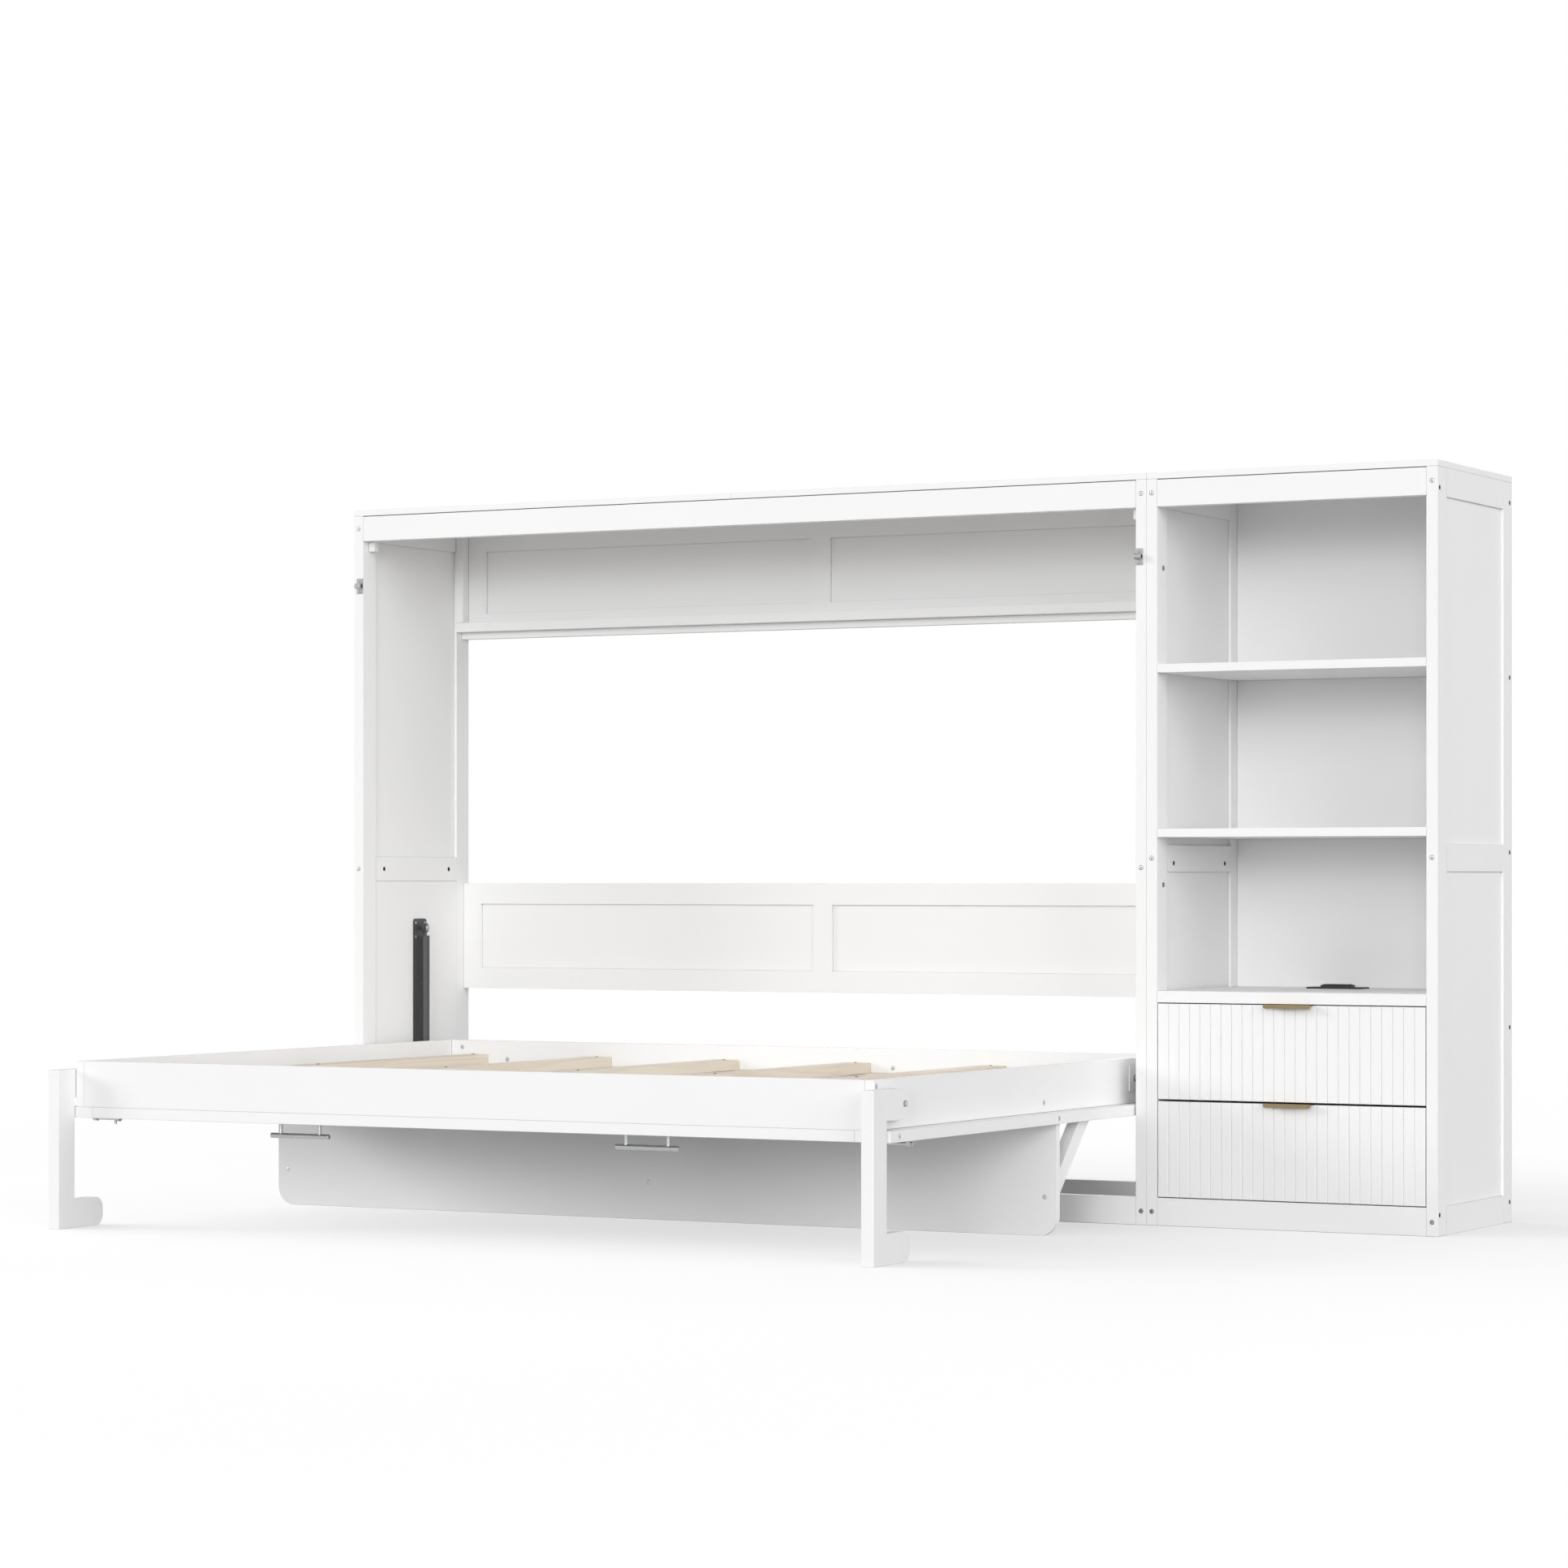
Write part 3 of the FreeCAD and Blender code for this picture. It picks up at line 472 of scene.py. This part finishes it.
def pick(piece, kind, test):
    """In edit mode, select the faces or edges that a test picks."""
    bpy.ops.mesh.select_mode(type=kind)
    bpy.ops.mesh.select_all(action="DESELECT")
    mesh = bmesh.from_edit_mesh(piece.data)
    for part in (mesh.faces if kind == "FACE" else mesh.edges):
        part.select_set(test(part))
    mesh.select_flush_mode()
    bmesh.update_edit_mesh(piece.data)


def cut(piece, cutter):
    """Take a cutter out of a piece."""
    choose(piece)
    bpy.ops.object.modifier_add(type="BOOLEAN")
    modifier = piece.modifiers[-1]
    modifier.operation = "DIFFERENCE"
    modifier.solver = "EXACT"
    modifier.object = cutter
    bpy.ops.object.modifier_apply(modifier=modifier.name)
    bpy.data.objects.remove(cutter, do_unlink=True)


def block(size, place):
    """A block at its size and place."""
    start_fresh()
    bpy.ops.mesh.primitive_cube_add(size=1.0, location=place)
    piece = bpy.context.object
    piece.scale = size
    settle(piece)
    return piece


def turned(sides, radius, height, middle, rounding=0.0, steps=2):
    """An upright cylinder or prism with its middle at a height, its top edge rounded."""
    start_fresh()
    bpy.ops.mesh.primitive_cylinder_add(vertices=sides, radius=radius, depth=height,
                                        location=(0, 0, middle))
    piece = bpy.context.object
    settle(piece)
    if rounding:
        bpy.ops.object.mode_set(mode="EDIT")
        pick(piece, "EDGE", lambda edge: all(end.co.z > middle for end in edge.verts))
        bpy.ops.mesh.bevel(offset=rounding, segments=steps, affect="EDGES")
        bpy.ops.object.mode_set(mode="OBJECT")
    return piece


def join(pieces, name):
    """Make several pieces one, under one name."""
    choose(*pieces)
    if len(pieces) > 1:
        bpy.ops.object.join()
    piece = bpy.context.object
    piece.name = name
    piece.data.name = name
    return piece


def screw_head(radius, height):
    """A pan head with a cross recess, on the XY plane with its top towards +Z."""
    head = turned(20, radius, height, middle=height / 2, rounding=height * 0.7, steps=3)
    slot_length, slot_width, slot_height = radius * 1.05, radius * 0.26, height * 0.7
    arms = [block((slot_length, slot_width, slot_height), (0, 0, height)),
            block((slot_width, slot_length, slot_height), (0, 0, height))]
    for arm in arms:
        cut(head, arm)
    return head


def domed_nut(radius, height):
    """A six-sided nut with a domed cap, on the XY plane with its cap towards +Z."""
    body = height * 0.6
    dome = height - body
    nut = turned(6, radius, body, middle=body / 2, rounding=radius * 0.12)
    cap = turned(24, radius * 0.72, dome, middle=(height + body) / 2,
                 rounding=dome * 0.85, steps=4)
    return join([cap, nut], "nut")


def socket_head(radius, height):
    """A flat bolt head with a six-sided socket, on the XY plane with its top towards +Z."""
    head = turned(24, radius, height, middle=height / 2, rounding=height * 0.4)
    cut(head, turned(6, radius * 0.5, height, middle=height * 0.9))
    return head


def bolt_rim(radius, height):
    """A thin round rim with a six-sided opening, on the XY plane with its top towards +Z."""
    rim = turned(24, radius, height, middle=height / 2, rounding=height * 0.6)
    cut(rim, turned(6, radius * 0.38, height * 4, middle=0.0))
    return rim


def flat_heads(name, facing, reach):
    """The middle of each of a node's flat faces that look one way and reach far enough."""
    mesh = frame["nodes"][name].data
    group = {}
    for face in mesh.polygons:
        if face.normal.dot(Vector(facing)) > SAME_WAY:
            joined = [group.get(corner, ()) for corner in face.vertices]
            corners = set(face.vertices).union(*joined)
            group.update(dict.fromkeys(corners, corners))
    heads = []
    for corners in {min(corners): corners for corners in group.values()}.values():
        points = [mesh.vertices[corner].co for corner in corners]
        low, high = [Vector([end(point[axis] for point in points) for axis in (X, Y, Z)])
                     for end in (min, max)]
        if max(high - low) > 2 * reach:
            heads.append((low + high) / 2)
    return heads


def set_out(pattern, name, places):
    """Copy a pattern to each place and facing, join the copies and smooth their round faces."""
    copies = []
    for point, facing in places:
        choose(pattern)
        bpy.ops.object.duplicate(linked=False)
        copy = bpy.context.object
        copy.rotation_euler = Vector(UP).rotation_difference(Vector(facing)).to_euler()
        copy.location = point
        settle(copy)
        copies.append(copy)
    bpy.data.objects.remove(pattern, do_unlink=True)
    return smooth(join(copies, name))


def smooth(piece):
    """Smooth the round faces and keep the edges."""
    choose(piece)
    bpy.ops.object.shade_smooth_by_angle(angle=SMOOTH_ANGLE)
    return piece


def fit(piece, body, material):
    """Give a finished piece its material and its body."""
    piece.data.materials.clear()
    piece.data.materials.append(material)
    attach(piece, body)


def cover(names, material):
    """Give CAD nodes a better material."""
    for name in names:
        slots = frame["nodes"][name].data.materials
        for index in range(len(slots)):
            slots[index] = material


def longest(name):
    """The axis along which a node is longest."""
    low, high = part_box(name)
    sides = high - low
    return max((X, Y, Z), key=lambda axis: sides[axis])


def box_and_middle(name):
    """A node's lowest corner, highest corner and middle."""
    low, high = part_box(name)
    return low, high, (low + high) / 2


def nodes_in(slot):
    """The CAD nodes that are made of one material slot."""
    return [name for name, node in frame["nodes"].items()
            if node.data.materials and node.data.materials[0].name.split(".")[0] == slot]


SLOT_NODES = {slot: nodes_in(slot) for slot in ("white_paint", "pine", "black_steel",
                                                "bright_steel", "bolt_steel", "brass",
                                                "black_plastic")}


class WALLBED_OT_boards(Operator):
    """Lacquer on the painted boards, along each board's length"""
    bl_idname = "wallbed.boards"
    bl_label = "Painted boards"

    def execute(self, context):
        finishes = context.scene.wallbed_finishes
        for along, name in enumerate(("lacquer_across", "lacquer_deep", "lacquer_upright")):
            boards = [node for node in SLOT_NODES["white_paint"] if longest(node) == along]
            cover(boards, painted_board(name, along, finishes))
        cover(["upper_drawer_front", "lower_drawer_front"],
              painted_board("fluted_lacquer", Z, finishes, seam_shade_share=0.25))
        return {"FINISHED"}


class WALLBED_OT_slats(Operator):
    """Bare pine on the slats, cleats and beam, and the slats' screws"""
    bl_idname = "wallbed.slats"
    bl_label = "Pine slats"

    def execute(self, context):
        finishes = context.scene.wallbed_finishes
        fittings = context.scene.wallbed_fittings
        cover([name for name in SLOT_NODES["pine"] if longest(name) == X and name != "bed_slats"],
              bare_pine("pine_across", X, finishes))
        cover(["bed_slats"], bare_pine("pine_deep", Y, finishes))
        low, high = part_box("bed_slats")
        beam = box_and_middle("center_beam")[2]
        first = low.x + SLAT_WIDTH / 2
        pitch = (high.x - low.x - SLAT_WIDTH) / (SLATS - 1)
        rows = (low.y + SLAT_SCREW_INSET, beam.y, high.y - SLAT_SCREW_INSET)
        places = [((first + index * pitch, y, high.z), UP) for index in range(SLATS) for y in rows]
        head = screw_head(fittings.slat_screw_radius, fittings.screw_height)
        dark = brushed_metal("dark_zinc", scaled(finishes.bolt_steel, 0.4), roughness=0.42)
        fit(set_out(head, "slat_screws", places), "bed", dark)
        return {"FINISHED"}


class WALLBED_OT_hardware(Operator):
    """Steel, brass and plastic of the hardware"""
    bl_idname = "wallbed.hardware"
    bl_label = "Hardware"

    def execute(self, context):
        finishes = context.scene.wallbed_finishes
        cover(SLOT_NODES["black_steel"],
              speckled_coat("powder_coat", finishes.black_steel, roughness=0.48, grain=1500.0))
        cover(SLOT_NODES["bright_steel"],
              brushed_metal("bright_plating", finishes.bright_steel, roughness=0.26))
        cover(SLOT_NODES["bolt_steel"],
              brushed_metal("zinc", finishes.bolt_steel, roughness=0.38))
        cover(["frame_bolts"],
              brushed_metal("black_bolts", finishes.black_bolt, roughness=0.46))
        cover(SLOT_NODES["brass"],
              brushed_metal("brushed_brass", finishes.brass, roughness=0.34))
        cover(SLOT_NODES["black_plastic"],
              speckled_coat("black_moulding", finishes.black_plastic, roughness=0.42, grain=900.0))
        return {"FINISHED"}


class WALLBED_OT_fixings(Operator):
    """Cross-head screws that hold keepers, latches, brackets, pivots and hinges"""
    bl_idname = "wallbed.fixings"
    bl_label = "Fixing screws"

    def execute(self, context):
        fittings = context.scene.wallbed_fittings
        zinc = bpy.data.materials["zinc"]

        def screws(name, body, places):
            head = screw_head(fittings.screw_radius, fittings.screw_height)
            fit(set_out(head, name, places), body, zinc)

        low, high, middle = box_and_middle("latch_keepers")
        left = (low.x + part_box("left_side_stiles")[1].x) / 2
        right = (high.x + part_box("right_side_stiles")[0].x) / 2
        screws("keeper_screws", "cabinet",
               [((x, high.y - THIN_PLATE, middle.z + way * CROWN_SCREW_REACH), FRONT)
                for x in (left, right) for way in BOTH_WAYS])

        low, high, middle = box_and_middle("latch_bodies")
        screws("latch_screws", "bed",
               [((x, middle.y + way * CROWN_SCREW_REACH, high.z - THIN_PLATE), DOWN)
                for inset in LATCH_SCREW_INSETS for x in (low.x + inset, high.x - inset)
                for way in BOTH_WAYS])

        low, high, middle = box_and_middle("strut_brackets")
        walls = ((low.x + PLATE, RIGHTWARD), (high.x - PLATE, LEFTWARD))
        top, second = [high.z - inset for inset in BRACKET_TOP_INSETS]
        foot = low.z + BRACKET_FOOT_INSET
        reach = BRACKET_SCREW_REACH
        spots = ((-reach, top), (reach, top), (-reach, second), BRACKET_MIDDLE_SCREW,
                 (-reach, foot), (reach, foot))
        screws("bracket_screws", "cabinet",
               [((x, middle.y + across, z), facing) for across, z in spots
                for x, facing in walls])

        low, high, middle = box_and_middle("pivot_plates")
        walls = ((low.x + PLATE, RIGHTWARD), (high.x - PLATE, LEFTWARD))
        reach = (high.z - low.z) / 2 - CORNER_SCREW_INSET
        screws("pivot_screws", "cabinet",
               [((x, middle.y + along * reach, middle.z + up * reach), facing)
                for along in BOTH_WAYS for up in BOTH_WAYS for x, facing in walls])

        low, high, middle = box_and_middle("hinge_plates")
        rails = ((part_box("bed_left_rail")[0].x - PLATE, LEFTWARD),
                 (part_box("bed_right_rail")[1].x + PLATE, RIGHTWARD))
        reach = (high.z - low.z) / 2 - CORNER_SCREW_INSET
        screws("hinge_screws", "bed",
               [((x, middle.y + along * HINGE_SCREW_REACH, middle.z + up * reach), facing)
                for along in BOTH_WAYS for up in BOTH_WAYS for x, facing in rails])
        return {"FINISHED"}


class WALLBED_OT_rims(Operator):
    """Rims on the bolts of the posts, the bed and the stand"""
    bl_idname = "wallbed.rims"
    bl_label = "Bolt rims"

    def execute(self, context):
        finishes = context.scene.wallbed_finishes
        fittings = context.scene.wallbed_fittings
        bright = brushed_metal("bright_zinc", finishes.bolt_rim, roughness=0.40)
        zinc = bpy.data.materials["zinc"]
        posts = [(head, FRONT) for head in flat_heads("frame_bolts", FRONT, fittings.rim_radius)]
        bed = [(head, way) for way in (FRONT, LEFTWARD, RIGHTWARD)
               for head in flat_heads("bed_bolts", way, fittings.rim_radius)]
        # painted shade: the same rims below the rim floor take the darker zinc, standing in for the
        # shade under the bed
        high = [place for place in posts if place[0].z > fittings.rim_shade_floor]
        low = [place for place in posts if place not in high]
        for name, body, plating, places in (("post_bolt_rims", "cabinet", bright, high),
                                            ("low_bolt_rims", "cabinet", zinc, low),
                                            ("bed_bolt_rims", "bed", bright, bed)):
            rim = bolt_rim(fittings.rim_radius, fittings.rim_height)
            fit(set_out(rim, name, places), body, plating)
        return {"FINISHED"}


class WALLBED_OT_nuts(Operator):
    """Domed nuts at both ends of the struts"""
    bl_idname = "wallbed.nuts"
    bl_label = "Strut nuts"

    def execute(self, context):
        fittings = context.scene.wallbed_fittings
        plating = bpy.data.materials["bright_plating"]

        def nuts(name, body, places):
            nut = domed_nut(fittings.nut_radius, fittings.nut_height)
            fit(set_out(nut, name, places), body, plating)

        tops = []
        for side, inward, outward in (("left", RIGHTWARD, LEFTWARD),
                                      ("right", LEFTWARD, RIGHTWARD)):
            low, high, middle = box_and_middle(side + "_strut_cylinder")
            eye = high.z - (high.y - low.y) / 2
            tops.append(((middle.x + inward[X] * EYE_REACH, middle.y, eye), inward))
            low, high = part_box(side + "_strut_rod")
            foot = low.z + (high.y - low.y) / 2
            nuts(side + "_strut_foot_nut", side + "_strut_rod",
                 [((middle.x + outward[X] * EYE_HALF, middle.y, foot), outward)])
        nuts("strut_top_nuts", "cabinet", tops)
        return {"FINISHED"}


class WALLBED_OT_outlet(Operator):
    """Socket face on the power outlet's raised block"""
    bl_idname = "wallbed.outlet"
    bl_label = "Outlet face"

    def execute(self, context):
        high, middle = box_and_middle("power_outlet")[1:]
        thick = OUTLET_FACE[Z]
        face = block(OUTLET_FACE, (middle.x, middle.y, high.z + thick / 2))

        def upright(edge):
            return abs(edge.verts[0].co.z - edge.verts[1].co.z) > thick / 2

        bpy.ops.object.mode_set(mode="EDIT")
        pick(face, "EDGE", upright)
        bpy.ops.mesh.bevel(offset=OUTLET_CORNER, segments=4, affect="EDGES")
        pick(face, "FACE", lambda part: part.normal.z > SAME_WAY)
        bpy.ops.mesh.inset(thickness=OUTLET_LIP, depth=-OUTLET_SINK)
        bpy.ops.object.mode_set(mode="OBJECT")
        slots = []
        for x in OUTLET_SOCKETS:
            slots += [(OUTLET_BLADE, (x + way * OUTLET_BLADE_REACH, OUTLET_BLADE_UP))
                      for way in BOTH_WAYS]
            slots.append((OUTLET_EARTH, (x, OUTLET_EARTH_UP)))
        for size, (x, y) in (*slots, *OUTLET_CHARGERS.items()):
            height = high.z + OUTLET_SLOT_FLOOR + OUTLET_SLOT_CUT / 2
            cut(face, block((*size, OUTLET_SLOT_CUT), (middle.x + x, middle.y + y, height)))
        fit(smooth(join([face], "outlet_face")), "cabinet",
            bpy.data.materials["black_moulding"])
        return {"FINISHED"}


class WALLBED_OT_joining_bolts(Operator):
    """Bolts that hold the bookcase to the bed bay, seen inside the bookcase"""
    bl_idname = "wallbed.joining_bolts"
    bl_label = "Joining bolts"

    def execute(self, context):
        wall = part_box("case_left_stiles")[1].x
        head = socket_head(JOINING_BOLT_RADIUS, JOINING_BOLT_THICKNESS)
        places = [((wall, JOINING_BOLT_DEPTH, z), RIGHTWARD) for z in JOINING_BOLT_HEIGHTS]
        fit(set_out(head, "joining_bolts", places), "cabinet",
            bpy.data.materials["zinc"])
        return {"FINISHED"}


class WALLBED_OT_studio(Operator):
    """Floor, soft light and the camera"""
    bl_idname = "wallbed.studio"
    bl_label = "Studio"

    def execute(self, context):
        studio = context.scene.wallbed_studio
        scene = context.scene
        scene.view_settings.view_transform = "Standard"

        start_fresh()
        bpy.ops.mesh.primitive_plane_add(size=FLOOR_WIDTH, location=(0, 0, 0))
        floor = context.object
        floor.name = "floor"
        floor.data.materials.append(pale_floor(studio))

        world = bpy.data.worlds.new("studio_sky")
        scene.world = world
        sky = Finish(world)
        strength = sky.seen() * (1.0 - studio.sky_strength) + studio.sky_strength
        sky.close(sky.node("Background", {}, {"Color": WHITE, "Strength": strength}), "OutputWorld")

        for name, (width, way) in LAMPS.items():
            sun = bpy.data.lights.new(name, "SUN")
            sun.energy = getattr(studio, name + "_strength")
            sun.angle = math.radians(width)
            lamp = bpy.data.objects.new(name, sun)
            scene.collection.objects.link(lamp)
            lamp.rotation_euler = Vector(way).to_track_quat("-Z", "Y").to_euler()

        camera = bpy.data.cameras.new("camera")
        camera.lens = studio.camera_lens
        camera.sensor_width = SENSOR_WIDTH
        camera.shift_y = studio.camera_rise
        camera.clip_end = SIGHT
        viewer = bpy.data.objects.new("camera", camera)
        scene.collection.objects.link(viewer)
        viewer.location = studio.camera_place
        viewer.rotation_euler = (math.radians(90.0), 0.0, studio.camera_turn)
        scene.camera = viewer
        return {"FINISHED"}


class WALLBED_PT_panel(Panel):
    """The steps that dress the wall bed"""
    bl_idname = "WALLBED_PT_panel"
    bl_label = "Wall bed"
    bl_space_type = "VIEW_3D"
    bl_region_type = "UI"
    bl_category = "Wall bed"

    def draw(self, context):
        for step in STEPS:
            self.layout.operator(step.bl_idname)


STEPS = (WALLBED_OT_boards, WALLBED_OT_slats, WALLBED_OT_hardware, WALLBED_OT_fixings,
         WALLBED_OT_rims, WALLBED_OT_nuts, WALLBED_OT_outlet, WALLBED_OT_joining_bolts,
         WALLBED_OT_studio)
SETTINGS = {"wallbed_finishes": FinishSettings, "wallbed_fittings": FittingSettings,
            "wallbed_studio": StudioSettings}


def register():
    for group in (*SETTINGS.values(), *STEPS, WALLBED_PT_panel):
        bpy.utils.register_class(group)
    for name, group in SETTINGS.items():
        setattr(bpy.types.Scene, name, PointerProperty(type=group))


def unregister():
    for name in SETTINGS:
        delattr(bpy.types.Scene, name)
    for group in (WALLBED_PT_panel, *reversed(STEPS), *SETTINGS.values()):
        bpy.utils.unregister_class(group)


def main():
    register()
    for step in STEPS:
        group, name = step.bl_idname.split(".")
        getattr(getattr(bpy.ops, group), name)()


if __name__ == "__main__":
    main()
